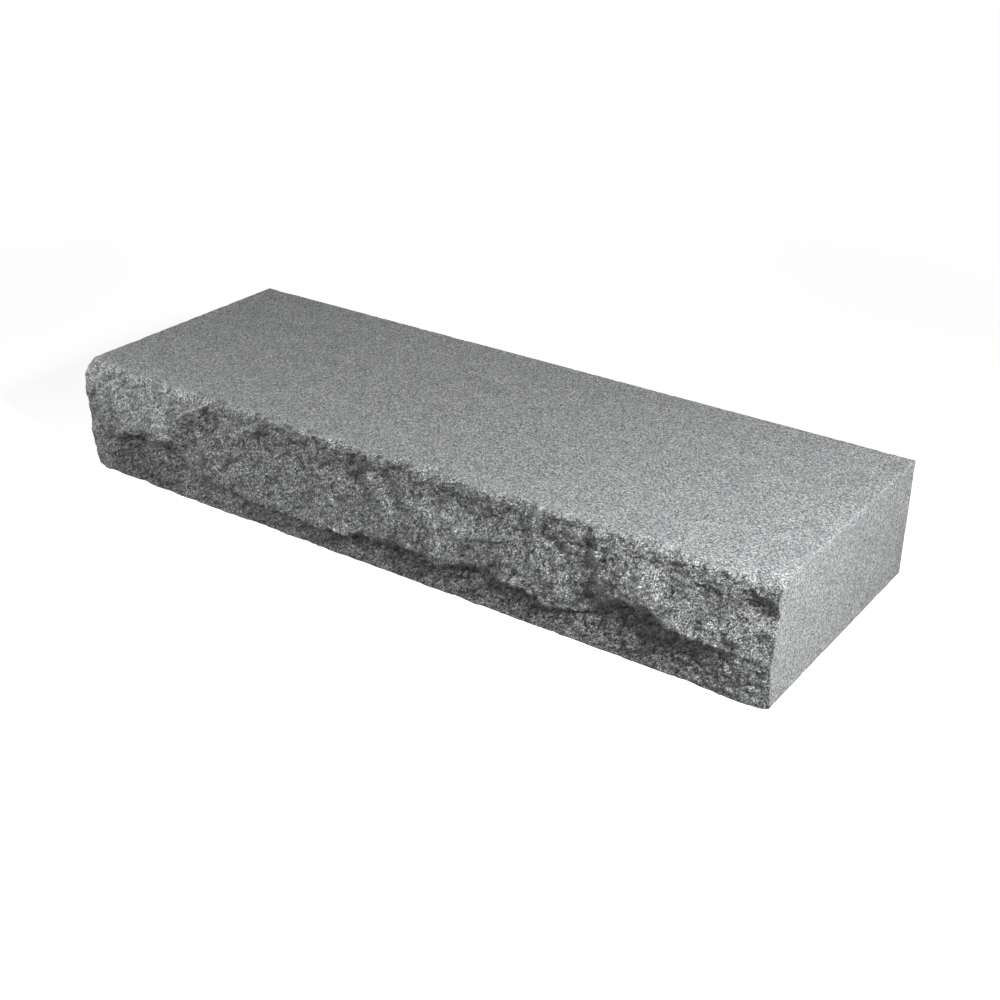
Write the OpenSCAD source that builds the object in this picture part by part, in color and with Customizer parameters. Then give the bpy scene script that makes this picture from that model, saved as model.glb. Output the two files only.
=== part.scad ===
// Granite step: one block with a sawn bed, back and ends, a level tread and a rock-pitched riser.
// Millimetres. X runs along the step, the riser faces -Y, and the block lies with its bed on Z = 0.
// The origin is the middle of the block's bounding box, at the level of the bed.

/* [Block] */
// Length of the step, end to end
block_length = 1000; // [600:50:1800]
// Depth of the tread, from the sawn back to the pitch line along the riser's top
tread_depth = 350; // [250:10:500]
// Rise of the step, from bed to tread
rise = 150; // [120:5:200]
// Bevel eased along the sawn edges
edge_ease = 2; // [1:0.5:6]

/* [Rock face] */
// Height of the bruised edge, where the pitching tool struck under the tread
bruise_height = 9; // [3:1:12]
// Steepness of the break back under each lip, in degrees from level
underside_angle = 35; // [20:1:50]
// Slope of the ribs that run across the break, in degrees up to the right
rib_slope = 36; // [0:1:60]
// Height of the broad ribs
rib_height = 2.8; // [0:0.1:3]
// Width of the broad ribs
rib_width = 24; // [15:1:40]
// Height of the fine ribs
fine_rib_height = 1.5; // [0:0.1:2]
// Width of the fine ribs
fine_rib_width = 10; // [8:1:14]
// How ragged the lips are, up and down
lip_raggedness = 2; // [0:0.5:4]
// Spacing of the rags along the lips
rag_spacing = 13; // [8:1:30]
// How deep the splitting flutes lie in the strip under the lips
flute_depth = 2; // [0:0.1:3]
// Spacing of the splitting flutes
flute_pitch = 23; // [15:1:40]
// Number of strips that the face is cut into along the step
face_columns = 200; // [80:8:240]
// Seed of the ribs
break_seed = 7; // [1:1:99]

/* [Hidden] */

// How far the rough block runs past each sawn plane before it is cut
saw_waste = 6;
// How far the sawn planes run on in front of the pitch line
face_room = 60;

// The face is lofted over guide lines that run along it from its left end to its right end. Each
// says how far the broken face stands proud of the pitch line. Places are shares of the length.

// The foot of the face, at the bed
FOOT = [[0.00, 2], [0.01, 5], [0.05, 8], [0.93, 8], [0.97, 10], [0.99, 8], [1.00, 2]];
// The back of the strip under the lips
STRIP = [
    [0.00, 8], [0.05, 10], [0.08, 12], [0.12, 12], [0.15, 10], [0.22, 9], [0.40, 9], [0.46, 6],
    [0.60, 3], [0.80, 2], [0.91, 2], [0.94, 9], [0.96, 12], [1.00, 10]
];
// The lips, as [place, height as a share of the rise, proud]
LIP = [
    [0.00, 0.33, 8], [0.03, 0.35, 12], [0.05, 0.41, 16], [0.07, 0.41, 18], [0.09, 0.49, 18],
    [0.11, 0.50, 16], [0.14, 0.48, 15], [0.17, 0.38, 13], [0.20, 0.29, 13], [0.26, 0.27, 15],
    [0.31, 0.25, 16], [0.41, 0.27, 18], [0.46, 0.35, 18], [0.53, 0.40, 18], [0.55, 0.39, 19],
    [0.58, 0.36, 22], [0.61, 0.37, 17], [0.63, 0.40, 10], [0.65, 0.41, 8], [0.67, 0.35, 17],
    [0.70, 0.36, 18], [0.73, 0.26, 16], [0.76, 0.26, 10], [0.785, 0.37, 6], [0.80, 0.48, 11],
    [0.82, 0.56, 23], [0.86, 0.57, 25], [0.88, 0.52, 25], [0.90, 0.48, 24], [0.92, 0.45, 21],
    [0.94, 0.40, 15], [0.96, 0.36, 13], [1.00, 0.35, 11]
];
// The cheeks, part of the way from lip to hollow
CHEEK = [
    [0.00, 8], [0.05, 16], [0.10, 20], [0.15, 20], [0.17, 14], [0.19, 11], [0.25, 10],
    [0.35, 10], [0.45, 12], [0.54, 15], [0.575, 20], [0.605, 17], [0.63, 12], [0.66, 11],
    [0.74, 13], [0.76, 8], [0.786, 6], [0.799, 19], [0.84, 23], [0.87, 22], [0.90, 20],
    [0.93, 16], [0.96, 13], [1.00, 11]
];
// The hollow under the tread's edge, as [place, height as a share of the rise, proud]
HOLLOW = [
    [0.00, 0.80, 11], [0.05, 0.78, 10], [0.15, 0.76, 11], [0.18, 0.78, 12], [0.21, 0.74, 6],
    [0.30, 0.72, 5], [0.36, 0.72, 6], [0.43, 0.72, 5], [0.50, 0.76, 4], [0.53, 0.75, 9],
    [0.58, 0.76, 8], [0.60, 0.76, 5], [0.65, 0.78, 4], [0.75, 0.72, 5], [0.777, 0.74, 4],
    [0.788, 0.76, 14], [0.85, 0.76, 16], [0.92, 0.78, 14], [0.95, 0.78, 11], [0.98, 0.76, 6],
    [1.00, 0.74, 5]
];
// The foot of the bruised edge
BRUISE = [
    [0.00, 4], [0.03, 5], [0.15, 6], [0.22, 6], [0.25, 5], [0.35, 7], [0.44, 9], [0.50, 9],
    [0.55, 7], [0.65, 8], [0.76, 8], [0.774, 4], [0.783, 11], [0.93, 10], [0.97, 9], [1.00, 5]
];
// The edge of the tread
ARRIS = [
    [0.00, -4], [0.01, -2], [0.03, -1], [0.08, 0], [0.22, 1], [0.26, 2], [0.35, 5], [0.44, 8],
    [0.50, 8], [0.55, 5], [0.60, 6], [0.77, 6], [0.774, 2], [0.783, 7], [0.93, 7], [0.98, 6], [1.00, 2]
];
// How far up the cheeks lie, as a share of the way from lip to hollow
CHEEK_SHARE = 0.45;

// Spalls struck out of the face, and bosses left on it, as [place, height as a share of the rise,
// length, width, tilt in degrees up to the right, depth]. A boss has a negative depth.
SPALLS = [
    [0.022, 0.20, 40, 10, 55, 3],
    [0.083, 0.44, 40, 14, 32, 5],
    [0.035, 0.66, 50, 16, 15, 2],
    [0.180, 0.60, 140, 42, 38, 9],
    [0.225, 0.74, 70, 20, 36, 3],
    [0.305, 0.78, 80, 24, 36, 3],
    [0.372, 0.84, 70, 24, 36, 3],
    [0.458, 0.88, 60, 20, 20, 3],
    [0.490, 0.31, 36, 16, 20, -5],
    [0.510, 0.37, 50, 10, 10, 4],
    [0.535, 0.68, 44, 20, 10, -3],
    [0.570, 1.00, 48, 26, 0, 8],
    [0.597, 0.47, 104, 28, 33, -6],
    [0.687, 0.41, 44, 14, -25, 3],
    [0.740, 0.71, 60, 22, -20, 3],
    [0.850, 0.77, 40, 30, 20, -3],
    [0.918, 0.72, 60, 40, 60, 5],
    [0.940, 0.92, 44, 10, 5, 3],
    [0.947, 0.26, 24, 16, 0, 8],
    [0.985, 0.62, 56, 86, 0, 6]
];

// Number of strips between one guide line and the next, from the bed up
STRIPS_BETWEEN = [5, 2, 5, 5, 5, 2];

// Random heights on a square lattice, smoothed between its points
LATTICE = 64;
LATTICE_HEIGHTS = rands(-1, 1, LATTICE * LATTICE, break_seed);
function wrapped(i) = (i % LATTICE + LATTICE) % LATTICE;
function lattice(i, j) = LATTICE_HEIGHTS[wrapped(i) + LATTICE * wrapped(j)];
function eased(t) = t * t * (3 - 2 * t);
function blend(a, b, t) = a + (b - a) * t;
function break_noise(u, v) =
    let (i = floor(u), j = floor(v), s = eased(u - i), t = eased(v - j))
    blend(
        blend(lattice(i, j), lattice(i + 1, j), s),
        blend(lattice(i, j + 1), lattice(i + 1, j + 1), s),
        t
    );

// Ribs are waves of the break, longer along their slope than across it
RIB_STRETCH = 2.5;
function ribs(x, z, width) =
    let (along = x * cos(rib_slope) + z * sin(rib_slope))
    let (across = z * cos(rib_slope) - x * sin(rib_slope))
    break_noise(along / (RIB_STRETCH * width), across / width);

// The broad ribs are scallops that meet in sharp crests
CREST = 0.6;
function scallops(x, z, width) = CREST - 2 * abs(ribs(x, z, width));

// Flutes run up the strip under the lips on the left half of the step, and die out to the right
FLUTE_LENGTH = 90;
function flute(x, z, place) =
    flute_depth * max(0, 1 - 2 * place)
    * break_noise(2 * x / flute_pitch, z / FLUTE_LENGTH);

// A spall is a shallow shell: deepest in its middle, with a crisp rim
function spall_depth(x, z, spall) =
    let (dx = x - spall[0] * block_length, dz = z - spall[1] * rise, tilt = spall[4])
    let (along = (dx * cos(tilt) + dz * sin(tilt)) / (spall[2] / 2))
    let (across = (dz * cos(tilt) - dx * sin(tilt)) / (spall[3] / 2))
    spall[5] * max(0, 1 - along * along - across * across);
function spalls_depth(x, z) = [for (spall = SPALLS) spall_depth(x, z, spall)] * [for (spall = SPALLS) 1];

// The guide points at a place along the step, from below the bed to above the tread, as [height, proud]
function heights(guide) = [for (p = guide) [p[0], p[1]]];
function prouds(guide) = [for (p = guide) [p[0], p[2]]];
LIP_HEIGHTS = heights(LIP);
LIP_PROUDS = prouds(LIP);
HOLLOW_HEIGHTS = heights(HOLLOW);
HOLLOW_PROUDS = prouds(HOLLOW);
function guides(place) =
    let (rag = lip_raggedness * break_noise(place * block_length / rag_spacing, 0))
    let (lip = [rise * lookup(place, LIP_HEIGHTS) + rag, lookup(place, LIP_PROUDS)])
    let (hollow = [rise * lookup(place, HOLLOW_HEIGHTS), lookup(place, HOLLOW_PROUDS)])
    let (strip = lookup(place, STRIP), bruise = lookup(place, BRUISE))
    [
        [-saw_waste, lookup(place, FOOT)],
        [lip[0] - (lip[1] - strip) * tan(underside_angle), strip],
        lip,
        [blend(lip[0], hollow[0], CHEEK_SHARE), lookup(place, CHEEK)],
        hollow,
        [rise - bruise_height, bruise],
        [rise + saw_waste, 2 * lookup(place, ARRIS) - bruise]
    ];

// How proud the face stands at x from its left end and at height z, given its lofted form there.
// The strip under the lips split more evenly than the rest, so its ribs are lower.
STRIP_RIBS = 0.4;
function proud(x, z, lofted, in_strip) =
    let (broad = rib_height * scallops(x, z, rib_width))
    let (fine = fine_rib_height * ribs(x, z, fine_rib_width))
    lofted
    + (in_strip ? STRIP_RIBS : 1) * (broad + fine)
    + (in_strip ? flute(x, z, x / block_length) : 0)
    - spalls_depth(x, z);

// A curve through four guide points, at a share t of the way from the second to the third
function curve(p, t) =
    p[1]
    + t * (p[2] - p[0]) / 2
    + t * t * (2 * p[0] - 5 * p[1] + 4 * p[2] - p[3]) / 2
    + t * t * t * (3 * p[1] - p[0] - 3 * p[2] + p[3]) / 2;

// One column of the face, from bottom to top. It curves from the lip up, and is straight below it.
LIP_GUIDE = 2;
function face_column(place) =
    let (g = guides(place), x = place * block_length, last = len(STRIPS_BETWEEN))
    [
        for (band = [0:last - 1])
            let (near = [g[max(band - 1, LIP_GUIDE)], g[band], g[band + 1], g[min(band + 2, last)]])
            for (k = [0:STRIPS_BETWEEN[band] - 1])
                let (t = k / STRIPS_BETWEEN[band])
                let (point = band < LIP_GUIDE ? blend(g[band], g[band + 1], t) : curve(near, t))
                [x, -proud(x, point[0], point[1], band == 0), point[0]],
        [x, -g[last][1], g[last][0]]
    ];
waste_share = saw_waste / block_length;
FACE = [
    for (i = [0:face_columns])
        face_column(blend(-waste_share, 1 + waste_share, i / face_columns))
];

// How far the most proud point of the face stands from the pitch line
boss = max([for (column = FACE) for (p = column) -p[1]]);
overall_depth = tread_depth + boss;

// The rough block, its front broken to shape and its other sides left for the saw. Its outermost
// ring of points is a plain rectangle, so that each of its other sides is one flat face.
module rough_block() {
    back = tread_depth + saw_waste;
    rim_low = -2 * saw_waste;
    rim_high = rise + 2 * saw_waste;
    rim_left = -2 * saw_waste;
    rim_right = block_length + 2 * saw_waste;
    across = [rim_left, for (column = FACE) column[0][0], rim_right];
    up = [rim_low, for (p = FACE[0]) p[2], rim_high];
    columns = len(across);
    rows = len(up);
    points = [
        for (i = [0:columns - 1])
            for (j = [0:rows - 1])
                i == 0 || i == columns - 1 || j == 0 || j == rows - 1
                    ? [across[i], 0, up[j]]
                    : FACE[i - 1][j - 1],
        [rim_left, back, rim_low],
        [rim_right, back, rim_low],
        [rim_right, back, rim_high],
        [rim_left, back, rim_high]
    ];
    function at(i, j) = i * rows + j;
    corner = columns * rows;
    faces = concat(
        [for (i = [0:columns - 2]) for (j = [0:rows - 2]) [at(i, j), at(i, j + 1), at(i + 1, j + 1)]],
        [for (i = [0:columns - 2]) for (j = [0:rows - 2]) [at(i, j), at(i + 1, j + 1), at(i + 1, j)]],
        [[corner, corner + 1, corner + 2, corner + 3]],
        [[corner, for (i = [0:columns - 1]) at(i, 0), corner + 1]],
        [[corner + 2, for (i = [columns - 1:-1:0]) at(i, rows - 1), corner + 3]],
        [[corner + 3, for (j = [rows - 1:-1:0]) at(0, j), corner]],
        [[corner + 1, for (j = [0:rows - 1]) at(columns - 1, j), corner + 2]]
    );
    polyhedron(points, faces, convexity = 4);
}

// A rectangle with its four corners cut off at 45 degrees
module eased_rectangle(width, height) {
    polygon([
        [edge_ease, 0], [width - edge_ease, 0],
        [width, edge_ease], [width, height - edge_ease],
        [width - edge_ease, height], [edge_ease, height],
        [0, height - edge_ease], [0, edge_ease]
    ]);
}

// Everything inside the six sawn planes, with their edges eased. It runs on in front of the riser.
module sawn_planes() {
    depth = face_room + tread_depth;
    intersection() {
        translate([0, -face_room, 0])
            linear_extrude(rise)
                eased_rectangle(block_length, depth);
        translate([0, tread_depth, 0])
            rotate([90, 0, 0])
                linear_extrude(depth)
                    eased_rectangle(block_length, rise);
        translate([0, -face_room, 0])
            rotate([90, 0, 90])
                linear_extrude(block_length)
                    eased_rectangle(depth, rise);
    }
}

module granite_step() {
    color("#828483")
        translate([-block_length / 2, boss - overall_depth / 2, 0])
            intersection() {
                sawn_planes();
                rough_block();
            }
}

granite_step();
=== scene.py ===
"""Granite step: the looks of one block, sawn and flamed, with a rock-pitched riser.

Metres. X runs along the step, the riser faces -Y, and the block lies with its bed on Z = 0.
"""

import math

import bmesh
import bpy
import numpy as np
from bpy.props import FloatProperty, FloatVectorProperty, IntProperty, PointerProperty
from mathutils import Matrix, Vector, noise
from mathutils.bvhtree import BVHTree
from mathutils.geometry import delaunay_2d_cdt
from mathutils.kdtree import KDTree


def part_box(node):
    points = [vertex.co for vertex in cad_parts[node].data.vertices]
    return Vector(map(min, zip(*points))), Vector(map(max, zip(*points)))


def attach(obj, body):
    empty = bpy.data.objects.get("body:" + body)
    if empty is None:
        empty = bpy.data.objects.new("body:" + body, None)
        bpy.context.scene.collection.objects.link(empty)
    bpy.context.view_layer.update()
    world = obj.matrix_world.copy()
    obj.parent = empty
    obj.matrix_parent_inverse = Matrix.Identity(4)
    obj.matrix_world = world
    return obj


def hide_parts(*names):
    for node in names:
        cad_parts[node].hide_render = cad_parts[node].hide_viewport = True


bl_info = {
    "name": "Granite Step",
    "version": (1, 0, 0),
    "blender": (4, 5, 0),
    "location": "View3D > Sidebar > Granite Step",
    "description": "Builds a granite step block with a rock-pitched riser, and its stage",
    "category": "Object",
}

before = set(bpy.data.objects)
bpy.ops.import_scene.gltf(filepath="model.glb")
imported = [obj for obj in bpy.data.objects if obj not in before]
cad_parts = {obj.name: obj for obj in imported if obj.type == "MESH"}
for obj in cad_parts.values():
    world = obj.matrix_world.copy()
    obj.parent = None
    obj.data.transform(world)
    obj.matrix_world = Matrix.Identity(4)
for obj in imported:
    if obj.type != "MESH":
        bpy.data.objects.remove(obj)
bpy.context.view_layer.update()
NODE = "granite_step"
LOW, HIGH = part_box(NODE)

MM = 0.001


def linear(hex_value):
    """The linear colour of an sRGB hex value such as "#828483"."""
    shares = [int(hex_value[i:i + 2], 16) / 255 for i in (1, 3, 5)]
    return tuple(s / 12.92 if s <= 0.04045 else ((s + 0.055) / 1.055) ** 2.4 for s in shares)


def length(name, description, default, low, high):
    """A size that a user may change, in metres."""
    return FloatProperty(
        name=name, description=description, default=default, min=low, max=high,
        unit="LENGTH", precision=5,
    )


def colour(name, description, hex_value):
    """A colour that a user may change."""
    return FloatVectorProperty(
        name=name, description=description, default=linear(hex_value), min=0, max=1,
        size=3, subtype="COLOR",
    )


class BlockSizes(bpy.types.PropertyGroup):
    """Sizes of the block's edges and of the relief on its broken face."""

    column_width: length("Column width", "Width of a column of the riser", 1.6 * MM, MM, 9 * MM)
    face_rows: IntProperty(
        name="Face rows", description="Points from bed to tread in one column of the riser",
        default=105, min=20, max=200,
    )
    edge_ease: length("Edge ease", "Bevel worn along the sawn edges", 1.3 * MM, 0.5 * MM, 6 * MM)
    tread_spacing: length("Tread spacing", "Between points of tread and ends", 5 * MM, MM, 50 * MM)
    bed_spacing: length("Bed spacing", "Between points of bed and back", 11 * MM, MM, 50 * MM)
    rib_slope: FloatProperty(
        name="Rib slope", description="Slope of the ribs across the break, up to the right",
        default=math.radians(36), min=0, max=math.pi / 2, subtype="ANGLE",
    )
    facet_size: length("Facet size", "Across one facet of the break", 9 * MM, 3 * MM, 40 * MM)
    facet_tilt: FloatProperty(
        name="Facet tilt", description="How far the facets of the break lean, as a slope",
        default=0.18, min=0, max=1,
    )
    crystal_relief: length(
        "Crystal relief", "Height of single crystals that stand out", 0.9 * MM, 0, 2 * MM,
    )
    chip_depth: length("Chip depth", "Depth of the chips along the arrises", 3.5 * MM, 0, 6 * MM)
    seed: IntProperty(name="Seed", description="Seed of the facets and chips", default=5, min=0)


class GraniteColours(bpy.types.PropertyGroup):
    """Colours of the granite's minerals."""

    grain: length("Grain", "Across one crystal", 1.1 * MM, MM, 10 * MM)
    biotite: colour("Biotite", "Black mica flakes", "#303133")
    quartz: colour("Quartz", "Grey glassy quartz", "#7c7f82")
    plagioclase: colour("Plagioclase", "Pale grey feldspar", "#bbbdbf")
    feldspar: colour("Feldspar", "White feldspar", "#f2f3f2")
    # This colour also paints the highlights on the left end and on the knobs of the riser.
    whitening: colour("Bruise", "Crystals crushed white by the pitching tool", "#d6d8d8")
    # Painted shade under the lips: the slightly warm colour that the sheltered face is darkened
    # towards.
    lip_shade_tint: colour("Stain", "Tint of the thin film in the sheltered hollows", "#ccc4b6")


class StageSettings(bpy.types.PropertyGroup):
    """The floor, the lamps and the even light from all round."""

    floor: colour("Floor", "Pale floor", "#f2f2f0")
    power: FloatProperty(
        name="Power", description="Power of all the lamps together", default=21.2, min=0,
        unit="POWER",
    )
    sky: FloatProperty(
        name="Sky", description="Strength of the even light from all round", default=0.04, min=0,
    )


# ---- The block ----

SKIN = 0.02 * MM        # how far inside a face its rays run
EDGE_SEARCH = 0.2 * MM  # steps in which stone is looked for at a sawn edge
ROCK_PITCHED, FLAMED, SAWN = range(3)
FAN_RAYS = 420          # rays that trace one section of the riser
FAN_ANGLE = math.radians(68)
FAN_DEPTH = 60 * MM     # how far behind the foremost point the fan starts
EDGE_MIDDLE = 0.3       # share of the edge ease at the middle of a worn edge
CORNER_TIP = 0.45       # and at the tip of a worn corner


def solid_tree():
    """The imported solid, as a tree that rays can be cast against."""
    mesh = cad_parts[NODE].data
    return BVHTree.FromPolygons(
        [v.co.copy() for v in mesh.vertices], [tuple(p.vertices) for p in mesh.polygons],
    )


def spaced(curve, count):
    """Count points at even steps along a curve given as rows of points."""
    steps = np.linalg.norm(np.diff(curve, axis=0), axis=1)
    run = np.concatenate([[0], np.cumsum(steps)])
    at = np.linspace(0, run[-1], count)
    return np.stack([np.interp(at, run, axis) for axis in curve.T], 1)


def face_section(solid, x, low, high, count):
    """The broken face at x, as count rows of (y, z) from height low to height high.

    Rays fan out from inside the block, so each of them crosses the face once.
    """
    inside = HIGH.x - SKIN
    x = min(max(x, -inside), inside)
    behind = LOW.y + FAN_DEPTH
    middle = (low + high) / 2

    def front(height, step):
        """The face's y at a height, or as near it as the sawn edge leaves any stone."""
        while True:
            hit = solid.ray_cast(Vector((x, behind, height)), Vector((0, -1, 0)))[0]
            if hit is not None:
                return hit.y
            height += step

    points = [(front(low + SKIN, EDGE_SEARCH), low)]
    for angle in np.linspace(-FAN_ANGLE, FAN_ANGLE, FAN_RAYS):
        ray = Vector((0, -math.cos(angle), math.sin(angle)))
        hit = solid.ray_cast(Vector((x, behind, middle)), ray)[0]
        if hit is not None and low + SKIN < hit.z < high - SKIN:
            points.append((hit.y, hit.z))
    points.append((front(high - SKIN, -EDGE_SEARCH), high))
    return spaced(np.array(points), count)


def face_stations(sizes):
    """Places along the step where the face is traced, and how far inside the sawn edge each is."""
    ease, middle = sizes.edge_ease, EDGE_MIDDLE * sizes.edge_ease
    columns = round((HIGH.x - LOW.x - 2 * ease) / sizes.column_width)
    inner = np.linspace(LOW.x + ease, HIGH.x - ease, columns + 1)
    stations = [LOW.x, LOW.x + middle, *inner, HIGH.x - middle, HIGH.x]
    insets = [ease, middle, *np.zeros(columns + 1), middle, ease]
    return np.array(stations), np.array(insets)


def traced_face(sizes):
    """The solid's broken face as a grid of points, [station, row, xyz]."""
    solid = solid_tree()
    stations, insets = face_stations(sizes)
    columns = []
    for x, inset in zip(stations, insets):
        section = face_section(solid, x, LOW.z + inset, HIGH.z - inset, sizes.face_rows)
        columns.append(np.column_stack([np.full(len(section), x), section]))
    return np.array(columns)


def smoothed(grid, passes):
    """A grid with the corners between the solid's facets taken off. Its rim stays in its planes."""
    for _ in range(passes):
        rim = grid.copy()
        middle = grid[1:-1, 1:-1]
        around = grid[:-2, 1:-1] + grid[2:, 1:-1] + grid[1:-1, :-2] + grid[1:-1, 2:]
        grid[1:-1, 1:-1] = (middle + around / 4) / 2
        for row in (0, -1):
            grid[1:-1, row, 1] = (rim[1:-1, row, 1] + (rim[:-2, row, 1] + rim[2:, row, 1]) / 2) / 2
            grid[row, 1:-1, 1] = (rim[row, 1:-1, 1] + (rim[row, :-2, 1] + rim[row, 2:, 1]) / 2) / 2
    return grid


def grid_normals(grid):
    """Unit normals of a grid that face out of the riser."""
    across = np.gradient(grid, axis=0)
    up = np.gradient(grid, axis=1)
    normals = np.cross(across, up)
    return normals / np.linalg.norm(normals, axis=2, keepdims=True)


def ramp(values, start, end):
    """0 below start and 1 above end, eased between them."""
    t = np.clip((values - start) / (end - start), 0, 1)
    return t * t * (3 - 2 * t)


# Each use of noise has a number of its own, so that no two of them rise and fall together
RIB_NOISE, CRYSTAL_NOISE, LIP_NOISE, TREAD_NOISE, ARRIS_NOISE = 11, 31, 41, 51, 71


def noise_at(points, width, use):
    """Noise from -1 to 1 at rows of points, with bumps about width across. Use is its number."""
    shift = Vector((use, -use, 2 * use))
    return np.array([noise.noise(Vector(p) / width + shift) for p in points])


SHELTER_REACH = 75 * MM  # how far down the face a lip shelters it
SHELTER_DEPTHS = (3 * MM, 9 * MM)  # overhang at which the shelter starts, and at which it is full


def shelter(grid):
    """How far each point of the face lies under a lip above it, from 0 to 1."""
    proud = -grid[:, :, 1]
    height = grid[:, :, 2]
    overhang = np.zeros_like(proud)
    rows = proud.shape[1]
    for row in range(rows):
        above = slice(row, rows)
        near = height[:, above] - height[:, row:row + 1] < SHELTER_REACH
        overhang[:, row] = np.where(near, proud[:, above] - proud[:, row:row + 1], 0).max(1)
    return ramp(overhang, *SHELTER_DEPTHS)


def plane_tree(places):
    """A search tree of rows of points in a plane."""
    tree = KDTree(len(places))
    for i, place in enumerate(places):
        tree.insert((*place, 0), i)
    tree.balance()
    return tree


SEED_JITTER = 0.5       # how far a facet lies off its place in the grid, in facets
TILT_SPREAD = 1.7       # how far the steepest facet leans, beside the slope that is asked for
STEP_SPREAD = 0.25      # how far a facet stands up or down, as a share of its own rise
NEAREST = 3             # facets that are compared at each point


def facets(places, size, slope, rng, choose):
    """Height of a face broken into facets about size across, leaning by about slope.

    Each facet is a plane. Choose takes the lowest or the highest of the nearest planes, so that
    the facets meet in sharp ridges or in sharp hollows.
    """
    ends = zip(places.min(0), places.max(0))
    rows = [np.arange(low - size, high + size, size) for low, high in ends]
    seeds = np.stack(np.meshgrid(*rows), 2).reshape(-1, 2)
    seeds += rng.uniform(-SEED_JITTER, SEED_JITTER, seeds.shape) * size
    tilts = rng.uniform(-TILT_SPREAD, TILT_SPREAD, seeds.shape) * slope
    steps = rng.uniform(-STEP_SPREAD, STEP_SPREAD, len(seeds)) * slope * size
    tree = plane_tree(seeds)
    heights = np.empty(len(places))
    for i, place in enumerate(places):
        near = [found[1] for found in tree.find_n((*place, 0), NEAREST)]
        planes = steps[near] + ((place - seeds[near]) * tilts[near]).sum(1)
        heights[i] = choose(planes)
    return heights - heights.mean()


RIB_STRETCH = 4.5       # how much longer a rib is than it is wide
FINE_RIBS = ((13, 1.5), (7, 1.3), (4, 0.9))  # width and height of the fine ribs, in mm
RIBS_FADE = (-50 * MM, 250 * MM)  # where the ribs die out along the step
RIBS_LEFT = 0.4         # share of the ribs' height beyond that
FACETS_RIBBED = 0.7     # share of the facets' height where the ribs are full
FACET_STRETCH = 1.5     # how much longer a facet is along the ribs than across them
CRYSTAL_WIDTH = 2.4 * MM  # across a crystal that stands out
STRIP_RELIEF = 1.1      # height of the relief in the strip under the lips, beside the rest


def relief(grid, sheltered, sizes, rng):
    """The height of the small relief over the traced face."""
    points = grid.reshape(-1, 3)
    x, y, z = points.T
    cos, sin = math.cos(sizes.rib_slope), math.sin(sizes.rib_slope)
    along, across = x * cos + z * sin, z * cos - x * sin
    ribbed = np.column_stack([along / RIB_STRETCH, across, y])
    ribs = sum(
        height * MM * noise_at(ribbed, width * MM, RIB_NOISE + i)
        for i, (width, height) in enumerate(FINE_RIBS)
    )
    ribs *= 1 - (1 - RIBS_LEFT) * ramp(x, *RIBS_FADE)
    flat = np.column_stack([along / FACET_STRETCH, across])
    large = facets(flat, sizes.facet_size, sizes.facet_tilt, rng, np.min)
    small = facets(flat, sizes.facet_size / 2, sizes.facet_tilt, rng, np.max)
    crystals = sizes.crystal_relief * noise_at(points, CRYSTAL_WIDTH, CRYSTAL_NOISE)
    share = 1 + (STRIP_RELIEF - 1) * sheltered.reshape(-1)
    facet_share = FACETS_RIBBED + (1 - FACETS_RIBBED) * ramp(x, *RIBS_FADE)
    return ((ribs + (large + small) * facet_share + crystals) * share).reshape(grid.shape[:2])


CHIP_LENGTHS = (0.2, 1)  # half length of the shortest and the longest chip, as shares of the reach
CHIP_DEPTHS = (0.3, 1)  # shares of the depth that the shallowest and the deepest chip have
CHIP_RUN = 1.6          # how far a chip runs away from its edge, in depths


def chips(run, away, reach, count, depth, rng):
    """How deep chips cut a face. Run is the place along an edge and away the distance from it."""
    cut = np.zeros(np.broadcast(run, away).shape)
    low, high = run.min(), run.max()
    for _ in range(count):
        centre = rng.uniform(low, high)
        half = rng.uniform(*CHIP_LENGTHS) * reach
        deep = depth * rng.uniform(*CHIP_DEPTHS)
        share = 1 - ((run - centre) / half) ** 2 - away / (CHIP_RUN * deep)
        cut = np.maximum(cut, deep * np.clip(share, 0, 1))
    return cut


FACET_PASSES = 1        # smoothing that takes the corners off the solid's facets
SOFT_PASSES = 30        # smoothing that takes the lips off, for a face to compare with
# How far the lips and hollows are drawn out at the left and at the deep overhang at the right, and
# where the one turns into the other
CRISPNESS = (0.6, 0.25)
CRISP_TURN = (240 * MM, 310 * MM)
SOFT_LIPS = (-120 * MM, -40 * MM, 55 * MM, 75 * MM)  # the low lips at the left: x and z they end at
SOFTNESS = -0.9         # how far they are drawn in
CRISP_MARGIN = 0.1      # share of the height over which this fades out at the foot and the arris
# Where the lips hang lower than in the solid: x and z of the middle, half length, half height and
# drop, in mm
LIP_DROPS = (
    (-30, 50, 260, 22, 9), (10, 46, 50, 18, 4), (-382, 86, 40, 18, 8), (335, 60, 80, 26, 7),
)
WANDER = ((26, 3.5), (10, 2.2), (5, 1))  # width and reach of the bends in the lips, in mm
WANDER_MARGIN = 0.15    # share of the height over which they fade out at the foot and the arris
WANDER_ENDS = 20 * MM   # and how far from the ends they do


def off_rims(z, margin):
    """1 over most of the face's height. It falls to 0 at the foot and the arris, over a margin
    given as a share of the height."""
    height = (z - LOW.z) / (HIGH.z - LOW.z)
    return ramp(np.minimum(height, 1 - height), 0, margin)


def drawn_out(grid):
    """A grid whose lips and hollows are drawn out where the face broke crisp, and in where it
    broke soft."""
    soft = smoothed(grid.copy(), SOFT_PASSES)
    x, z = grid[:, :, 0], grid[:, :, 2]
    crisp = np.maximum(ramp(x, *SOFT_LIPS[:2]), ramp(z, *SOFT_LIPS[2:]))
    share = SOFTNESS + (np.interp(x, CRISP_TURN, CRISPNESS) - SOFTNESS) * crisp
    share *= off_rims(z, CRISP_MARGIN)
    grid[:, :, 1] += share * (grid[:, :, 1] - soft[:, :, 1])
    return grid


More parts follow.
